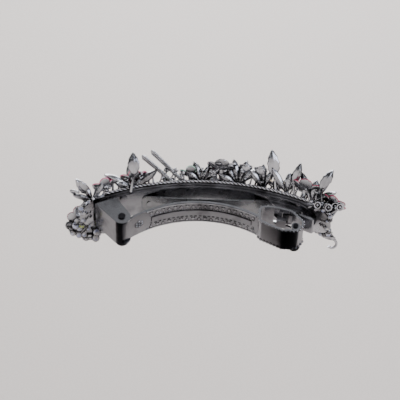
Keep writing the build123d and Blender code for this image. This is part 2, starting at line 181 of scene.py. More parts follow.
def make_materials():
    """Every finish, keyed by the record's material slot or a mesh-only name."""
    return {
        # Black-nickel plate over polished strip: near-black with crisp bright streaks.
        "plated_steel": metal("black_nickel_polished_strip", "#2c2d30", "#8a8b90", 0.12, 0.26, 0.4, 0.10),
        # The same plate over a cast surface, with deep painted shade in its hollows that leaves the high spots bright.
        "plated_casting": metal("black_nickel_casting_hollow_shade", "#0e0e10", "#a9aaaf", 0.12, 0.28, 0.25, 0.5),
        # Hardened strip under thin plating: a little paler and more even.
        "spring_steel": metal("rolled_spring_steel", "#303134", "#86888b", 0.18, 0.32, 0.3, 0.15),
        # Near-black pins: their dark colour is painted shade standing in for the shaded far pin ends; dull, with soft
        # broad highlights.
        "blackened_steel": metal("painted_shade_pin_steel", "#08080a", "#26262a", 0.32, 0.48, 0.3, 0.3),
        "rhinestone": crystal("foil_backed_pressed_crystal", "#b9c2e6"),
        "peridot": crystal("foil_backed_pressed_peridot", "#a9c23c"),
        "pink_enamel": enamel("brushed_cold_enamel_pink", "#8f1e4a", "#d8668f"),
        "wine_enamel": enamel("brushed_cold_enamel_wine", "#5a0f2c", "#b03a5f"),
        "leaf_enamel": enamel("brushed_cold_enamel_sage", "#3b5140", "#8ea88a"),
        "cream_enamel": enamel("brushed_cold_enamel_cream", "#b7a27e", "#efe3c8"),
        "mint_enamel": enamel("brushed_cold_enamel_mint", "#5f9a86", "#bfe3d2"),
    }


MATERIALS = {}


class Shape:
    """Points and faces gathered for one piece; each face has the number of its finish."""

    def __init__(self):
        self.points, self.faces, self.marks = [], [], []

    def grid(self, rows, mark=0, wrap=False, mark_at=None):
        """Join rows of points into quads. wrap closes each row on itself."""
        first, wide = len(self.points), len(rows[0])
        for row in rows:
            self.points.extend(row)
        for i in range(len(rows) - 1):
            for j in range(wide if wrap else wide - 1):
                a, b = first + i * wide + j, first + i * wide + (j + 1) % wide
                self.faces.append((a, b, b + wide, a + wide))
                self.marks.append(mark_at(i, j) if mark_at else mark)
        return first

    def ball(self, centre, radius, mark=0, flat=1.0, normal=Z, around=10):
        """A bead, pressed flat along normal by the factor flat."""
        turn = normal.to_track_quat("Z", "Y")
        rows = []
        for i in range(1, 6):
            a = math.pi * i / 6
            rows.append([centre + turn @ Vector((radius * math.sin(a) * math.cos(t),
                                                 radius * math.sin(a) * math.sin(t),
                                                 radius * flat * math.cos(a)))
                         for t in (math.tau * k / around for k in range(around))])
        first = self.grid(rows, mark, wrap=True)
        for pole, base in ((1, first), (-1, first + 4 * around)):
            self.points.append(centre + turn @ Vector((0, 0, pole * radius * flat)))
            tip = len(self.points) - 1
            for k in range(around):
                a, b = base + k, base + (k + 1) % around
                self.faces.append((tip, a, b) if pole > 0 else (tip, b, a))
                self.marks.append(mark)

    def tube(self, path, radii, mark=0, around=8):
        """A round wire along path, with closed ends."""
        rows, up = [], Z
        for i, point in enumerate(path):
            ahead = (path[min(i + 1, len(path) - 1)] - path[max(i - 1, 0)]).normalized()
            side = ahead.cross(up if abs(ahead.dot(up)) < 0.95 else X).normalized()
            top = side.cross(ahead)
            rows.append([point + radii[i] * (math.cos(t) * side + math.sin(t) * top)
                         for t in (math.tau * k / around for k in range(around))])
        first = self.grid(rows, mark, wrap=True)
        last = first + (len(path) - 1) * around
        self.faces += [tuple(range(first, first + around)), tuple(range(last + around - 1, last - 1, -1))]
        self.marks += [mark, mark]

    def shell(self, face_rows, back_rows, mark_face, mark_back, edge=None, mark_edge=None):
        """A thin closed sheet between two grids of the same size."""
        first = self.grid(face_rows, mark_face, mark_at=edge and (lambda i, j: edge(i, j, mark_face)))
        other = self.grid([list(r) for r in back_rows], mark_back,
                          mark_at=edge and (lambda i, j: edge(i, j, mark_back)))
        high, wide = len(face_rows), len(face_rows[0])
        ring = ([(0, j) for j in range(wide)] + [(i, wide - 1) for i in range(1, high)]
                + [(high - 1, j) for j in range(wide - 2, -1, -1)] + [(i, 0) for i in range(high - 2, 0, -1)])
        for k, (i, j) in enumerate(ring):
            p, q = ring[(k + 1) % len(ring)]
            self.faces.append((first + i * wide + j, first + p * wide + q,
                               other + p * wide + q, other + i * wide + j))
            self.marks.append(mark_back if mark_edge is None else mark_edge)

    def piece(self, name, finishes, body, slot, replaces=(), smooth=True):
        """Turn what was gathered into an object that rides on its CAD body."""
        mesh = bpy.data.meshes.new(name)
        mesh.from_pydata([tuple(p) for p in self.points], [], self.faces)
        for finish in finishes:
            mesh.materials.append(MATERIALS[finish])
        mesh.polygons.foreach_set("material_index", self.marks)
        mesh.polygons.foreach_set("use_smooth", [smooth] * len(self.faces))
        mesh.validate()
        made = bpy.data.objects.new(name, mesh)
        bpy.context.scene.collection.objects.link(made)
        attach(made, body)
        if replaces:
            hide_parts(*replaces)
        return made


def at(node, fx, fy, fz):
    """A point in a CAD node's box, each way from 0 at its low face to 1 at its high face."""
    lo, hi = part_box(node)
    return Vector([lo[k] + f * (hi[k] - lo[k]) for k, f in enumerate((fx, fy, fz))])


def surface(node):
    """A search tree over one CAD node's faces."""
    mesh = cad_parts[node].data
    return BVHTree.FromPolygons([v.co for v in mesh.vertices], [p.vertices for p in mesh.polygons])


def islands(node):
    """The separate solids of a CAD node, each as a list of (corner points, normal, area)."""
    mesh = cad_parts[node].data
    keys, owner = {}, []
    for v in mesh.vertices:
        owner.append(keys.setdefault(tuple(round(c, 6) for c in v.co), len(keys)))
    root = list(range(len(keys)))

    def find(a):
        while root[a] != a:
            root[a] = root[root[a]]
            a = root[a]
        return a

    for p in mesh.polygons:
        for v in p.vertices[1:]:
            root[find(owner[v])] = find(owner[p.vertices[0]])
    groups = {}
    for p in mesh.polygons:
        corners = [mesh.vertices[v].co.copy() for v in p.vertices]
        groups.setdefault(find(owner[p.vertices[0]]), []).append((corners, p.normal.copy(), p.area))
    return list(groups.values())


def seat_of_stone(solid):
    """Centre, axis and radius of the flat back of a stone."""
    flats = {}
    for corners, normal, area in solid:
        flats.setdefault(tuple(round(c, 2) for c in normal), []).append((corners, normal, area))
    back = max(flats.values(), key=lambda faces: sum(f[2] for f in faces))
    points = [c for f in back for c in f[0]]
    centre = sum(points, Vector()) / len(points)
    unique = {tuple(round(c, 6) for c in p) for p in points}
    centre = sum((Vector(p) for p in unique), Vector()) / len(unique)
    return centre, -back[0][1], max((p - centre).length for p in points)


def arch_height(x, node="garland_frame", thick=1.0 * MM):
    """Height of the top of an arched strip at x, from its box."""
    lo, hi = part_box(node)
    half, drop = (hi[0] - lo[0]) / 2, hi[2] - thick - lo[2]
    radius = (half * half + drop * drop) / (2 * drop) + thick
    return hi[2] - radius + math.sqrt(radius * radius - x * x)


def petal(shape, centre, right, up, axis, turn, length, width, cup, thick, marks, bite=0.0):
    """One cupped petal: veined metal back, smooth face, rolled rim."""
    out = math.cos(turn) * right + math.sin(turn) * up
    side = axis.cross(out)
    face, back, n, m = [], [], 12, 10
    for i in range(n + 1):
        u = i / n
        half = width / 2 * (0.28 + 0.72 * math.sin(math.pi * min(1, u * 0.98 + 0.02) ** 1.25) ** 0.55)
        row_f, row_b = [], []
        for j in range(m + 1):
            v = -1 + 2 * j / m
            r = length * u * (1 - bite * (1 - abs(v)) * u ** 6) * (1 - 0.10 * v * v * u)
            t = half * v
            d = min(r * r + t * t, cup * cup * 0.98)
            z = cup - math.sqrt(cup * cup - d)
            ripple = 0.05 * MM * math.sin(9 * v + 3 * u) * u
            edge = max(abs(v) ** 5, u ** 8)
            vein = 0.13 * MM * max(0, math.cos(v * math.pi * 2.5)) * (1 - u ** 3) + 0.10 * MM * edge
            base = centre + out * r + side * t
            row_f.append(base + axis * (z + ripple))
            row_b.append(base + axis * (z + ripple - thick * (0.55 + 0.45 * (1 - edge)) - vein))
        face.append(row_f)
        back.append(row_b)

    def rim(i, j, mark):
        return marks[2] if mark == marks[0] and (i >= n - 2 or j in (0, m - 1)) else mark

    shape.shell(face, back, marks[0], marks[1], edge=rim, mark_edge=marks[2])


def blossom(shape, centre, axis, side, count, length, width, cup, thick, marks, bite=0.0, second=0.62):
    """Two layers of petals on a calyx."""
    right = (Vector((axis.z, 0, -axis.x)) * -side).normalized()
    up = axis.cross(right)
    for layer, scale in ((0, 1.0), (1, second)):
        for k in range(count):
            turn = math.radians(-90) + math.tau * (k + 0.5 * layer) / count
            petal(shape, centre + axis * layer * 0.35 * MM, right, up, axis, turn, length * scale,
                  width * (1.0 if layer == 0 else 0.7), cup, thick, marks, bite)
    shape.ball(centre - axis * thick, 1.25 * MM, marks[1], 0.55, axis, 12)


class ClipSizes(bpy.types.PropertyGroup):
    """Sizes and colours that a user would change."""

    petal_thick: FloatProperty(name="Petal thickness", description="Thickness of the cast petals",
                               default=0.5 * MM, min=0.2 * MM, max=1 * MM, unit="LENGTH", precision=5)
    bead_radius: FloatProperty(name="Bead radius", description="Radius of the beads along the clamp bar",
                               default=0.46 * MM, min=0.1 * MM, max=0.6 * MM, unit="LENGTH", precision=5)
    bead_gap: FloatProperty(name="Bead spacing", description="Distance between beads along the clamp bar",
                            default=1.4 * MM, min=0.5 * MM, max=3 * MM, unit="LENGTH", precision=5)
    rope_pitch: FloatProperty(name="Rope pitch", description="Length of one full turn of the twisted edge",
                              default=2.6 * MM, min=1 * MM, max=6 * MM, unit="LENGTH", precision=5)
    floor_colour: FloatVectorProperty(name="Floor colour", description="Colour of the floor, linear",
                                      default=linear("#d9d3cf")[:3], subtype="COLOR", min=0, max=1)
    seed: IntProperty(name="Seed", description="Start of the small scatter in bead places", default=7, min=0)


class CLIP_OT_plating(bpy.types.Operator):
    """Put the plated finishes on the CAD pieces whose shape is already right"""

    bl_idname = "clip.plating"
    bl_label = "Plating"

    def execute(self, context):
        MATERIALS.update(make_materials())
        slots = {}
        for name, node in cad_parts.items():
            for k, slot in enumerate(node.material_slots):
                slots.setdefault(slot.material.name if slot.material else "", []).append((node, k))
        for name, users in slots.items():
            for node, k in users:
                stem = next((m for m in MATERIALS if name.startswith(m)), None)
                node.material_slots[k].material = MATERIALS[stem or "plated_casting"]
        return {"FINISHED"}


class CLIP_OT_rope(bpy.types.Operator):
    """Build the two-strand twisted edges of the garland frame"""

    bl_idname = "clip.rope"
    bl_label = "Rope edges"

    def execute(self, context):
        sizes = context.scene.clip_sizes
        for side in SIDES:
            node = f"rope_edge_{side}"
            lo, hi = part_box(node)
            radius, y = (hi[1] - lo[1]) / 2, (hi[1] + lo[1]) / 2
            half, drop = (hi[0] - lo[0]) / 2, (hi[2] - lo[2] - 2 * radius)
            arc = (half * half + drop * drop) / (2 * drop)
            shape, steps = Shape(), 520
            for strand in (0, math.pi):
                path = []
                for k in range(steps + 1):
                    x = -half + 2 * half * k / steps
                    z = hi[2] - radius - arc + math.sqrt(arc * arc - x * x)
                    a = math.tau * x / sizes.rope_pitch + strand
                    path.append(Vector((x, y + 0.5 * radius * math.cos(a), z + 0.5 * radius * math.sin(a))))
                shape.tube(path, [radius * 0.52] * (steps + 1), around=7)
            shape.piece(f"rope_twist_{side}", ["plated_casting"], "plate", "plated_casting", [node])
        return {"FINISHED"}


class CLIP_OT_flowers(bpy.types.Operator):
    """Build the cupped flowers with veined backs and enamelled rims"""

    bl_idname = "clip.flowers"
    bl_label = "Flowers"

    def execute(self, context):
        sizes = context.scene.clip_sizes
        for side, sign in SIDES.items():
            seats = [seat_of_stone(s) for s in islands(f"flower_stones_{side}")]
            gems = Shape()
            for centre, axis, radius in seats:
                cut_stone(gems, centre, axis, radius)
            gems.piece(f"flower_crystals_{side}", ["rhinestone", "peridot"], "plate", "rhinestone",
                       [f"flower_stones_{side}"], smooth=False)
            for stem, (count, length, width, cup, rim) in FLOWERS.items():
                node = f"{stem}_{side}"
                middle = at(node, 0.5, 0.5, 0.5)
                centre, axis, radius = min(seats, key=lambda s: (s[0] - middle).length)
                shape = Shape()
                heart = centre - axis * 1.0 * MM
                blossom(shape, heart, axis, sign, count, length * MM, width * MM, cup * MM,
                        sizes.petal_thick, (0, 1, 2), bite=0.10)
                collet(shape, centre, axis, radius)
                foot = (heart.z - arch_height(heart.x)) / axis.z
                shape.tube([heart - axis * 0.3 * MM, heart - axis * foot], [1.0 * MM, 0.75 * MM], 1)
                if stem == "openwork_flower":
                    for k in range(count):
                        turn = math.tau * (k + 0.5) / count
                        right = (Vector((axis.z, 0, -axis.x)) * -sign).normalized()
                        out = math.cos(turn) * right + math.sin(turn) * axis.cross(right)
                        ring(shape, heart + out * 3.4 * MM + axis * 0.4 * MM, axis, 1.0 * MM, 0.28 * MM)
                finish = [rim if rim.endswith("enamel") else "plated_casting", "plated_casting", rim]
                shape.piece(f"blossom_{stem}_{side}", finish, "plate", "plated_casting", [node])
        return {"FINISHED"}


def ring(shape, centre, axis, radius, wire, mark=0, around=16):
    """A plain wire ring."""
    turn = axis.to_track_quat("Z", "Y")
    rows = []
    for k in range(around + 1):
        a = math.tau * k / around
        out = turn @ Vector((math.cos(a), math.sin(a), 0))
        rows.append([centre + out * (radius + wire * math.cos(b)) + axis * wire * math.sin(b)
                     for b in (math.tau * i / 8 for i in range(8))])
    shape.grid(rows, mark, wrap=True)


def cut_stone(shape, centre, axis, radius, mark=0):
    """A chaton: flat back, eight kite facets and a flat table."""
    turn = axis.to_track_quat("Z", "Y")
    levels = ((0.9, 0.0, 0), (1.0, 0.22, 0), (0.78, 0.52, 1), (0.5, 0.72, 0))
    rows = [[centre + turn @ Vector((radius * s * math.cos(math.tau * (k + h / 2) / 8),
                                     radius * s * math.sin(math.tau * (k + h / 2) / 8), radius * z * 0.75))
             for k in range(8)] for s, z, h in levels]
    first = shape.grid(rows, mark, wrap=True)
    shape.faces += [tuple(range(first + 7, first - 1, -1)), tuple(range(first + 24, first + 32))]
    shape.marks += [mark, mark]


def collet(shape, centre, axis, radius):
    """The metal cup of a stone with four small claws."""
    turn = axis.to_track_quat("Z", "Y")
    path = [centre - axis * 1.0 * MM, centre - axis * 0.05 * MM]
    shape.tube(path, [radius * 0.85, radius * 1.12], 1, around=16)
    for k in range(4):
        a = math.tau * (k + 0.5) / 4
        out = turn @ Vector((math.cos(a), math.sin(a), 0))
        shape.ball(centre + out * radius + axis * 0.2 * MM, 0.27 * MM, 1, 1.0, axis, 6)


class CLIP_OT_stones(bpy.types.Operator):
    """Build the row of cut stones along the top with their claws"""

    bl_idname = "clip.stones"
    bl_label = "Spine stones"

    def execute(self, context):
        gems, claws = Shape(), Shape()
        for solid in islands("spine_stones") + islands("centre_stone"):
            centre, axis, radius = seat_of_stone(solid)
            cut_stone(gems, centre, axis, radius)
            turn = axis.to_track_quat("Z", "Y")
            for k in range(4):
                out = turn @ Vector((math.cos(math.tau * k / 4), math.sin(math.tau * k / 4), 0))
                claws.ball(centre + out * radius * 1.05 + axis * 0.2 * MM, 0.28 * MM, 0, 1.0, axis, 6)
        gems.piece("spine_crystals", ["rhinestone"], "plate", "rhinestone",
                   ["spine_stones", "centre_stone"], smooth=False)
        claws.piece("spine_claws", ["plated_casting"], "plate", "plated_casting")
        shape, sizes = Shape(), context.scene.clip_sizes
        centre, axis, radius = seat_of_stone(islands("centre_stone")[0])
        heart = centre - axis * 1.0 * MM
        blossom(shape, heart, axis, -1, 8, 4.8 * MM, 3.2 * MM, 8 * MM, sizes.petal_thick, (0, 1, 0))
        collet(shape, centre, axis, radius)
        foot = (heart.z - arch_height(heart.x)) / axis.z
        shape.tube([heart, heart - axis * foot], [1.1 * MM, 0.9 * MM], 1)
        shape.piece("blossom_centre", ["plated_casting", "plated_casting"], "plate", "plated_casting",
                    ["centre_flower"])
        return {"FINISHED"}


class CLIP_OT_roses(bpy.types.Operator):
    """Build the small closed roses and the florets"""

    bl_idname = "clip.roses"
    bl_label = "Roses"

    def execute(self, context):
        for side, sign in SIDES.items():
            for stem in ("rose_inner", "rose_outer"):
                node = f"{stem}_{side}"
                axis = Vector((-0.1 * sign, 0.35 * sign, 1)).normalized()
                points = [v.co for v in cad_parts[node].data.vertices]
                tip = max(p.dot(axis) for p in points)
                head = [p for p in points if p.dot(axis) > tip - 1.3 * MM]
                top = sum(head, Vector()) / len(head)
                base = top + axis * (tip - top.dot(axis) - 2.9 * MM)
                right = (Vector((axis.z, 0, -axis.x)) * -sign).normalized()
                up = axis.cross(right)
                shape = Shape()
                for level, (radius, low, high, count) in enumerate(
                        ((0.75, 0.6, 3.0, 3), (1.35, 0.2, 2.9, 3), (1.95, -0.1, 2.5, 5), (2.15, -0.2, 1.7, 5))):
                    for k in range(count):
                        inner, outer, n, m = [], [], 8, 9
                        for i in range(n + 1):
                            u, row_i, row_o = i / n, [], []
                            for j in range(m + 1):
                                v = -1 + 2 * j / m
                                a = math.tau * (k + level * 0.37) / count + v * 0.9 * math.pi / count * 1.25
                                out = math.cos(a) * right + math.sin(a) * up
                                flare = 0.55 + 0.45 * math.sin(math.pi * 0.5 * min(1, u * 1.6)) + 0.14 * u ** 6
                                r = radius * flare * (1 + 0.05 * v)
                                z = low + (high - low) * u * (1 - 0.16 * v * v)
                                row_i.append(base + out * (r - 0.18) * MM + axis * z * MM)
                                row_o.append(base + out * r * MM + axis * z * MM)
                            inner.append(row_i)
                            outer.append(row_o)
                        shape.shell(inner, outer, 0, 0)
                shape.ball(base + axis * 0.3 * MM, 1.35 * MM, 0, 0.8, axis)
                foot = (base.z - arch_height(base.x)) / axis.z
                shape.tube([base + axis * 0.2 * MM, base - axis * foot], [0.9 * MM, 0.7 * MM], 0)
                shape.piece(f"rose_{stem[5:]}_{side}_petals", ["plated_casting"], "plate", "plated_casting", [node])
            shape = Shape()
            axis = Vector((0, 0.3 * sign, 1)).normalized()
            for solid in islands(f"florets_{side}"):
                points = [c for f in solid for c in f[0]]
                tip = max(p.dot(axis) for p in points)
                head = [p for p in points if p.dot(axis) > tip - 0.8 * MM]
                top = sum(head, Vector()) / len(head)
                blossom(shape, top - axis * 0.7 * MM, axis, sign, 5, 2.3 * MM, 1.7 * MM, 3 * MM, 0.3 * MM,
                        (0, 0, 0), second=0.5)
                shape.ball(top, 0.55 * MM, 0, 0.9, axis)
                foot = (top.z - arch_height(top.x)) / axis.z
                shape.tube([top - axis * 0.8 * MM, top - axis * foot], [0.7 * MM, 0.6 * MM], 0)
            shape.piece(f"floret_petals_{side}", ["plated_casting"], "plate", "plated_casting",
                        [f"florets_{side}"])
        return {"FINISHED"}


LEAVES = {
    # node stem: foot and tip as parts of the box (front side), width, finish of the face
    "tall_leaf": ((0.30, 0.55, 0.38), (0.10, 0.02, 1.0), 4.0, "leaf_enamel"),
    "side_leaf": ((0.15, 0.60, 0.35), (0.95, 0.04, 1.0), 2.8, "leaf_enamel"),
    "veined_leaf": ((0.85, 0.38, 0.30), (0.72, 0.02, 1.0), 3.8, "plated_casting"),
    "left_leaf": ((0.75, 0.62, 0.35), (0.02, 0.05, 0.9), 3.2, "leaf_enamel"),
    "right_leaf": ((0.10, 0.30, 0.30), (0.98, 0.04, 0.95), 3.2, "leaf_enamel"),
}


class CLIP_OT_leaves(bpy.types.Operator):
    """Build the leaves with a midrib, side veins and a serrated edge"""

    bl_idname = "clip.leaves"
    bl_label = "Leaves"

    def execute(self, context):
        for side, sign in SIDES.items():
            for stem, (foot_at, tip_at, width, finish) in LEAVES.items():
                node = f"{stem}_{side}"
                if sign > 0:
                    foot_at, tip_at = ([1 - f[0], 1 - f[1], f[2]] for f in (foot_at, tip_at))
                foot, tip = at(node, *foot_at), at(node, *tip_at)
                along = (tip - foot).normalized()
                across = along.cross(Vector((0, -sign * 0.6, 0.8))).normalized()
                normal = across.cross(along)
                length, n, m, face, back = (tip - foot).length, 16, 10, [], []
                for i in range(n + 1):
                    u, row_f, row_b = i / n, [], []
                    tooth = 1 + 0.07 * math.sin(u * math.pi * 9)
                    half = width / 2 * MM * (0.08 + 0.92 * math.sin(math.pi * u ** 0.8) ** 0.8) * tooth
                    for j in range(m + 1):
                        v = -1 + 2 * j / m
                        rib = 0.26 * MM * max(0, 1 - abs(v) * 4) + 0.12 * MM * max(
                            0, math.cos((u * 7 - abs(v) * 1.4) * math.pi)) * (1 - abs(v)) * (abs(v) > 0.1)
                        bow = -0.9 * MM * math.sin(math.pi * u) + 0.45 * MM * v * v
                        p = foot + along * length * u + across * half * v + normal * bow
                        row_f.append(p + normal * 0.2 * MM)
                        row_b.append(p - normal * (0.14 * MM + rib))
                    face.append(row_f)
                    back.append(row_b)
                shape = Shape()
                shape.shell(face, back, 0, 1)
                root = Vector((foot.x + (at(node, 0.5, 0.5, 0).x - foot.x) * 0.5,
                               at(node, 0, 0.97 if sign < 0 else 0.03, 0).y, at(node, 0, 0, 0.0).z + 0.5 * MM))
                middle = (root + foot) / 2 + normal * -0.6 * MM
                shape.tube([root, middle, foot + along * 0.6 * MM], [0.5 * MM, 0.45 * MM, 0.4 * MM], 1)
                shape.piece(f"leaf_{stem}_{side}", [finish, "plated_casting"], "plate", "leaf_enamel", [node])
        return {"FINISHED"}


class CLIP_OT_sprays(bpy.types.Operator):
    """Build the feather sprays as straight tapered wires with bead rows"""

    bl_idname = "clip.sprays"
    bl_label = "Sprays"

    def execute(self, context):
        for side, sign in SIDES.items():
            for stem in ("long_spray", "short_spray"):
                node = f"{stem}_{side}"
                near, far = (0.93, 0.93, 0.05), (0.05, 0.05, 0.95)
                if sign > 0:
                    near, far = ([1 - f[0], 1 - f[1], f[2]] for f in (near, far))
                start, end = at(node, *near), at(node, *far)
                along = (end - start).normalized()
                across = along.cross(Z).normalized()
                over = across.cross(along)
                shape, n = Shape(), 84
                path = [start.lerp(end, k / n) for k in range(n + 1)]
                radii = [(0.5 + 0.28 * k / n) * (1 + 0.10 * math.sin(k * math.pi / 2)) * MM
                         * (1 if k < n - 5 else 0.45 + 0.11 * (n - k)) for k in range(n + 1)]
                shape.tube(path, radii, 0, 10)
                for k in range(2, n - 3, 4):
                    for a in (-0.9, 0.0, 0.9, math.pi):
                        out = math.cos(a) * -over + math.sin(a) * across
                        shape.ball(path[k] + out * radii[k] * 0.95, 0.30 * MM, 0, 0.8, out, 6)
                shape.piece(f"{stem}_beaded_{side}", ["plated_casting"], "plate", "plated_casting", [node])
        return {"FINISHED"}


class CLIP_OT_bar_trim(bpy.types.Operator):
    """Build the bead rows, triangle rows and stamped flower under the clamp bar"""

    bl_idname = "clip.bar_trim"
    bl_label = "Bar trim"

    def execute(self, context):
        sizes, tree, shape = context.scene.clip_sizes, surface("clamp_bar"), Shape()
        lo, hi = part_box("clamp_bar")
        start, end = lo[0] + 11.4 * MM, hi[0] - 1.6 * MM
        count = int((end - start) / sizes.bead_gap)
        for k in range(count + 1):
            x = start + (end - start) * k / count
            for side in (-1, 1):
                spot, normal, _, _ = tree.ray_cast(Vector((x, side * 1.95 * MM, lo[2] - 5 * MM)), Z)
                if spot:
                    shape.ball(spot - normal * 0.05 * MM, sizes.bead_radius, 0, 0.85, normal, 8)
        for k in range(int(count / 1.35) + 1):
            x = start + (end - start) * k * 1.35 / count
            for side in (-1, 1):
                spot, normal, _, _ = tree.ray_cast(Vector((x, side * 3.2 * MM, lo[2] - 5 * MM)), Z)
                if spot:
                    along = Y.cross(normal).normalized()
                    flip = 1 if k % 2 else -1
                    tri = [spot + along * dx * MM + Y * side * flip * dy * MM
                           for dx, dy in ((-0.8, -0.6), (0.8, -0.6), (0.0, 0.65))]
                    base = len(shape.points)
                    shape.points += ([p - normal * 0.1 * MM for p in tri]
                                     + [spot.lerp(p, 0.55) + normal * 0.32 * MM for p in tri])
                    for a, b, c, d in ((0, 1, 4, 3), (1, 2, 5, 4), (2, 0, 3, 5)):
                        shape.faces.append((base + a, base + b, base + c, base + d))
                    shape.faces += [(base + 3, base + 4, base + 5), (base + 2, base + 1, base)]
                    shape.marks += [0] * 5
        for side in (-1, 1):
            path = []
            for k in range(60):
                x = start - 1.5 * MM + (hi[0] - 0.6 * MM - start + 1.5 * MM) * k / 59
                spot, normal, _, _ = tree.ray_cast(Vector((x, side * 4.35 * MM, lo[2] - 5 * MM)), Z)
                if spot:
                    path.append(spot)
            shape.tube(path, [0.27 * MM] * len(path), 0, 8)
        spot, normal, _, _ = tree.ray_cast(Vector((lo[0] + 7.6 * MM, 0, lo[2] - 5 * MM)), Z)
        turn = normal.to_track_quat("Z", "Y")
        for k in range(6):
            out = turn @ Vector((math.cos(math.tau * k / 6), math.sin(math.tau * k / 6), 0))
            shape.ball(spot + out * 1.15 * MM, 0.62 * MM, 0, 0.55, normal, 10)
        shape.ball(spot, 0.45 * MM, 0, 0.8, normal, 8)
        shape.piece("clamp_bar_beading", ["plated_casting"], "clamp", "plated_steel")
        return {"FINISHED"}


class CLIP_OT_cage_trim(bpy.types.Operator):
    """Build the beaded rims of the clasp cage"""

    bl_idname = "clip.cage_trim"
    bl_label = "Cage trim"

    def execute(self, context):
        sizes, tree, shape = context.scene.clip_sizes, surface("clasp_cage"), Shape()
        middle = at("clasp_cage", 0.5, 0.5, 0.5)
        for side in (-1, 1):
            last = None
            for k in range(900):
                a = math.tau * k / 900
                out = Vector((math.cos(a), 0, math.sin(a)))
                y = Vector((0, side * 4.35 * MM, 0))
                spot, normal, _, _ = tree.ray_cast(middle + y + out * 30 * MM, -out)
                if spot is None or (last and (spot - last).length < sizes.bead_gap * 0.86):
                    continue
                shape.ball(spot, sizes.bead_radius * 1.05, 0, 0.9, normal, 8)
                last = spot
        shape.piece("clasp_cage_beading", ["plated_casting"], "clamp", "plated_steel")
        return {"FINISHED"}


class CLIP_OT_clusters(bpy.types.Operator):
    """Build the bead and stone clusters at both ends and the small castings along the frame"""

    bl_idname = "clip.clusters"
    bl_label = "Bead clusters"

    def execute(self, context):
        pick = random.Random(context.scene.clip_sizes.seed)
        lo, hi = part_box("garland_frame")
        beads, gems = Shape(), Shape()
        for side, sign in SIDES.items():
            edge = sign * (hi[1] - lo[1]) / 2
            for k in range(46):
                x = (-0.92 + 1.84 * k / 45) * hi[0]
                if k % 3 == 1:
                    z = arch_height(x) + 0.1 * MM
                    beads.ball(Vector((x, edge * 0.93, z)), (0.5 + 0.25 * pick.random()) * MM, 0, 0.9)
            for end in (-1, 1):
                for k in range(9):
                    a = math.radians(-80 + 20 * k)
                    x = end * (hi[0] - 3.4 * MM + 3.1 * MM * math.cos(a))
                    y = sign * abs(3.6 * MM + 2.6 * MM * math.sin(a))
                    z = arch_height(min(abs(x), hi[0] * 0.995)) - 0.5 * MM
                    radius = (0.7 + 0.35 * pick.random()) * MM
                    spot = Vector((x, y, z - radius * 0.3))
                    if k % 3 == 2:
                        beads.ball(spot, radius * 1.1, 0, 0.5)
                        cut_stone(gems, spot - Z * radius * 0.4, -Z, radius * 0.85,
                                  1 if (end < 0 and side == "back" and k == 5) else 0)
                    else:
                        beads.ball(spot, radius, 0, 0.9)
        beads.piece("end_beads", ["plated_casting"], "plate", "plated_casting")
        gems.piece("end_crystals", ["rhinestone", "peridot"], "plate", "rhinestone", smooth=False)
        return {"FINISHED"}


FANS = {
    # foot (x, y, z) and tips (x, y, z, width, edge finish) in millimetres, on the front side
    "end": ((-36.9, -6.2, 9.3), [(-40.8, -9.5, 13.3, 2.4, 0), (-33.5, -9.5, 14.4, 2.2, 0), (-43.0, -9.0, 8.2, 1.8, 0)]),
    "pink": ((-24.1, -6.2, 14.8), [(-25.2, -11.0, 21.7, 3.4, 0), (-16.4, -10.0, 19.3, 2.6, 1),
                                   (-33.5, -10.0, 16.7, 2.6, 1), (-29.5, -9.0, 14.2, 2.6, 0),
                                   (-19.6, -9.0, 17.0, 2.2, 0)]),
    "bud": ((-1.8, -6.2, 18.3), [(-4.4, -9.5, 24.3, 2.6, 1), (4.9, -9.5, 22.3, 2.2, 1), (0.6, -9.5, 22.6, 1.8, 0),
                                 (-7.0, -9.0, 20.5, 1.8, 0)]),
    "openwork": ((10.2, -6.2, 17.9), [(5.3, -9.5, 24.1, 2.6, 0), (8.7, -10.5, 25.0, 2.6, 0),
                                      (13.2, -10.5, 24.6, 2.4, 0), (16.4, -10.0, 21.4, 2.4, 0),
                                      (3.6, -9.0, 19.6, 2.0, 0)]),
    "rose": ((18.6, -6.2, 16.6), [(14.2, -10.5, 20.4, 2.2, 0), (18.4, -11.0, 22.8, 2.2, 0),
                                  (21.6, -10.5, 20.6, 2.2, 0)]),
    "tall": ((26.2, -6.2, 14.6), [(30.6, -12.0, 21.8, 2.8, 0), (21.1, -12.0, 20.5, 2.4, 0), (27.2, -11.0, 19.4, 2.6, 0)]),
    "wine": ((34.2, -6.2, 11.3), [(31.0, -11.0, 19.9, 2.6, 1), (40.3, -11.0, 18.3, 2.8, 0), (36.0, -10.5, 17.2, 2.8, 0),
                                  (42.4, -8.6, 13.8, 2.4, 0)]),
}


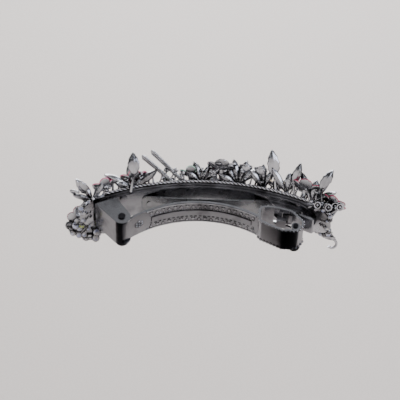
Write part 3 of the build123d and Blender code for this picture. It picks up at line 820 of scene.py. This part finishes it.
class CLIP_OT_foliage(bpy.types.Operator):
    """Fill the garland with fans of pointed petals, bead sprigs and the two end clusters"""

    bl_idname = "clip.foliage"
    bl_label = "Foliage"

    def execute(self, context):
        pick = random.Random(context.scene.clip_sizes.seed + 1)
        for side, sign in SIDES.items():
            for name, (foot, tips) in FANS.items():
                shape = Shape()
                root = Vector((foot[0] * -sign, foot[1] * -sign, foot[2])) * MM
                for tx, ty, tz, wide, edge in tips:
                    tip = Vector((tx * -sign, ty * -sign, tz)) * MM
                    along, length = (tip - root).normalized(), (tip - root).length
                    across = along.cross(Vector((0, -sign * 0.766, 0.643))).normalized()
                    normal = across.cross(along)
                    face, back, n, m = [], [], 14, 8
                    for i in range(n + 1):
                        u, row_f, row_b = i / n, [], []
                        half = wide / 2 * MM * (0.14 + 0.86 * math.sin(math.pi * u ** 1.3) ** 0.75)
                        for j in range(m + 1):
                            v = -1 + 2 * j / m
                            bow = (0.9 * v * v - 0.9 * math.sin(math.pi * u)) * MM * min(1, wide / 2.6)
                            rib = (0.28 * max(0, 1 - abs(v) * 4) + 0.14 * abs(v) ** 6) * MM
                            q = root + along * length * u + across * half * v + normal * bow
                            row_f.append(q + normal * 0.16 * MM)
                            row_b.append(q - normal * (0.16 * MM + rib))
                        face.append(row_f)
                        back.append(row_b)
                    shape.shell(face, back, edge, 0, mark_edge=edge)
                    for k in range(5):
                        shape.ball(root.lerp(tip, 0.18 + 0.13 * k) - normal * (0.35 * MM + 0.9 * MM * math.sin(
                            math.pi * (0.18 + 0.13 * k)) * min(1, wide / 2.6)), 0.2 * MM, 0, 0.8, normal, 6)
                shape.ball(root, 0.95 * MM, 0, 0.8)
                shape.piece(f"fan_{name}_{side}", ["plated_casting", "pink_enamel"], "plate", "plated_casting")
            sprigs = Shape()
            for k in range(44):
                x = (-35.5 + 71 * k / 43) * MM
                foot = Vector((x, sign * 6.0 * MM, arch_height(x) - 0.1 * MM))
                reach = (2.2 + 2.6 * pick.random()) * MM
                lean = Vector((pick.uniform(-0.5, 0.5), sign * pick.uniform(0.4, 0.9), pick.uniform(0.5, 1.0))).normalized()
                end = foot + lean * reach
                sprigs.tube([foot, foot.lerp(end, 0.5) + Z * 0.2 * MM, end], [0.4 * MM, 0.3 * MM, 0.25 * MM], 0, 6)
                for b in range(4):
                    a = pick.uniform(0, math.tau)
                    off = Vector((math.cos(a), sign * 0.4, math.sin(a))) * 0.5 * MM
                    sprigs.ball(end + off, pick.uniform(0.35, 0.62) * MM, 0, 0.9, around=7)
            sprigs.piece(f"bead_sprigs_{side}", ["plated_casting"], "plate", "plated_casting")
        beads, gems = Shape(), Shape()
        view = Vector((0, -0.766, -0.643))
        for name, middle, spread, count, low, high in (
                ("left", Vector((-39.0, 8.0, 8.4)), Vector((6.0, 3.4, 1.9)), 26, 0.9, 1.7),
                ("right", Vector((39.6, -6.2, 10.6)), Vector((4.8, 2.2, 3.6)), 40, 0.45, 0.8)):
            for k in range(count):
                a, r = k * 2.4, math.sqrt((k + 0.5) / count)
                spot = (middle + Vector((spread.x * r * math.cos(a), spread.y * r * math.sin(a),
                                         -spread.z * r * math.sin(a) * (1 if name == "left" else -1)
                                         + pick.uniform(-0.5, 0.5)))) * MM
                radius = pick.uniform(low, high) * MM
                beads.ball(spot, radius, 0, 0.85)
                inner = Vector((spot.x * 0.93, spot.y * 0.62, min(spot.z + 1.5 * MM, arch_height(spot.x * 0.93))))
                beads.tube([spot, inner], [0.4 * MM, 0.5 * MM], 0, 6)
                if name == "left" and k % 2 == 0:
                    seat = spot + view * radius * 0.7
                    cut_stone(gems, seat, view, radius * 0.7, 1 if k == 18 else 0)
                    ring(beads, seat, view, radius * 0.72, 0.14 * MM)
                elif name == "right" and k % 3 == 0:
                    ring(beads, spot + view * radius, view, 1.0 * MM, 0.22 * MM)
        beads.piece("end_filigree", ["plated_casting"], "plate", "plated_casting")
        gems.piece("end_pave", ["rhinestone", "peridot"], "plate", "rhinestone", smooth=False)
        return {"FINISHED"}


class CLIP_OT_stage(bpy.types.Operator):
    """Set the floor, the soft lights and the camera"""

    bl_idname = "clip.stage"
    bl_label = "Stage"

    def execute(self, context):
        scene = context.scene
        floor = bpy.data.materials.get("matt_paper_sweep") or bpy.data.materials.new("matt_paper_sweep")
        floor.use_nodes = True
        tree = floor.node_tree
        tree.nodes.clear()
        place = add_node(tree, "ShaderNodeTexCoord").outputs["Object"]
        fibre = add_node(tree, "ShaderNodeTexNoise", [("Vector", place), ("Scale", 900.0), ("Detail", 3.0)])
        pale = [c for c in scene.clip_sizes.floor_colour]
        colour = ramp(tree, fibre.outputs["Fac"],
                      [(0.3, [c * 0.94 for c in pale] + [1]), (0.7, pale + [1])])
        paper = add_node(tree, "ShaderNodeBsdfPrincipled", [("Base Color", colour), ("Roughness", 0.85)])
        clear = add_node(tree, "ShaderNodeBsdfTransparent")
        under = add_node(tree, "ShaderNodeNewGeometry")
        both = add_node(tree, "ShaderNodeMixShader",
                        [(0, under.outputs["Backfacing"]), (1, paper.outputs[0]), (2, clear.outputs[0])])
        add_node(tree, "ShaderNodeOutputMaterial", [("Surface", both.outputs[0])])
        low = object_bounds()[0][2] - 0.2 * MM
        for name, origin, axis in (("floor", Vector((0, 0, low)), Z), ("backdrop", Vector((0, 0.35, 0.3)), -Y)):
            turn = axis.to_track_quat("Z", "Y")
            corners = [origin + turn @ Vector((a * 1.2, b * 1.2, 0)) for a, b in ((-1, -1), (1, -1), (1, 1), (-1, 1))]
            mesh = bpy.data.meshes.new(name)
            mesh.from_pydata([tuple(c) for c in corners], [], [(0, 1, 2, 3)])
            mesh.materials.append(floor)
            made = bpy.data.objects.new(name, mesh)
            scene.collection.objects.link(made)
            made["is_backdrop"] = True
        target = Vector((-0.002, 0, 0.0157))
        for name, place, size, watts, tint in (
                ("key_softbox", (-0.35, -0.55, -0.28), 0.35, 9.0, "#fff6ec"),
                ("fill_softbox", (0.5, -0.45, 0.1), 0.5, 4.0, "#eef2ff"),
                ("top_softbox", (0.0, -0.1, 0.7), 0.6, 9.0, "#ffffff"),
                ("rim_softbox", (0.25, 0.3, -0.5), 0.25, 4.0, "#ffffff"),
                ("back_softbox", (-0.2, 0.7, 0.4), 0.5, 5.0, "#ffffff")):
            light = bpy.data.lights.new(name, "AREA")
            light.size, light.energy, light.color = size, watts, linear(tint)[:3]
            lamp = bpy.data.objects.new(name, light)
            lamp.location = place
            lamp.rotation_euler = (target - Vector(place)).to_track_quat("-Z", "Y").to_euler()
            scene.collection.objects.link(lamp)
        world = bpy.data.worlds.new("soft_room")
        world.use_nodes = True
        room = world.node_tree
        way = add_node(room, "ShaderNodeTexCoord").outputs["Generated"]
        bands = add_node(room, "ShaderNodeTexNoise", [("Vector", way), ("Scale", 4.2), ("Detail", 1.0)])
        glow = ramp(room, bands.outputs["Fac"],
                    [(0.44, linear("#08080a")), (0.51, linear("#6f6e72")), (0.57, linear("#ffffff"))])
        room.links.new(glow, room.nodes["Background"].inputs[0])
        room.nodes["Background"].inputs[1].default_value = 0.9
        scene.world = world
        look = Vector((0, math.cos(math.radians(40)), math.sin(math.radians(40))))
        lens = bpy.data.cameras.new("camera")
        lens.lens, lens.sensor_width = 163.6, 36
        lens.clip_start, lens.clip_end = 0.01, 10
        eye = bpy.data.objects.new("camera", lens)
        up = Vector((0, -look.z, look.y))
        right = look.cross(up)
        roll = math.radians(2.0)
        right, up = (math.cos(roll) * right + math.sin(roll) * up, math.cos(roll) * up - math.sin(roll) * right)
        turn = Matrix((right, up, -look)).transposed().to_4x4()
        eye.matrix_world = Matrix.Translation(target - look * 0.6) @ turn
        scene.collection.objects.link(eye)
        scene.camera = eye
        return {"FINISHED"}


class CLIP_PT_panel(bpy.types.Panel):
    """Lists the pieces of the clip and their sizes"""

    bl_idname = "CLIP_PT_panel"
    bl_label = "Hair clip"
    bl_space_type = "VIEW_3D"
    bl_region_type = "UI"
    bl_category = "Hair clip"

    def draw(self, context):
        for key in ClipSizes.__annotations__:
            self.layout.prop(context.scene.clip_sizes, key)
        for operator in OPERATORS:
            self.layout.operator(operator.bl_idname)


OPERATORS = (CLIP_OT_plating, CLIP_OT_rope, CLIP_OT_flowers, CLIP_OT_stones, CLIP_OT_roses, CLIP_OT_leaves,
             CLIP_OT_sprays, CLIP_OT_bar_trim, CLIP_OT_cage_trim, CLIP_OT_clusters, CLIP_OT_foliage, CLIP_OT_stage)
CLASSES = (ClipSizes, *OPERATORS, CLIP_PT_panel)


def register():
    for each in CLASSES:
        bpy.utils.register_class(each)
    bpy.types.Scene.clip_sizes = PointerProperty(type=ClipSizes)


def unregister():
    del bpy.types.Scene.clip_sizes
    for each in reversed(CLASSES):
        bpy.utils.unregister_class(each)


def main():
    register()
    for operator in OPERATORS:
        group, name = operator.bl_idname.split(".")
        getattr(getattr(bpy.ops, group), name)()


if __name__ == "__main__":
    main()
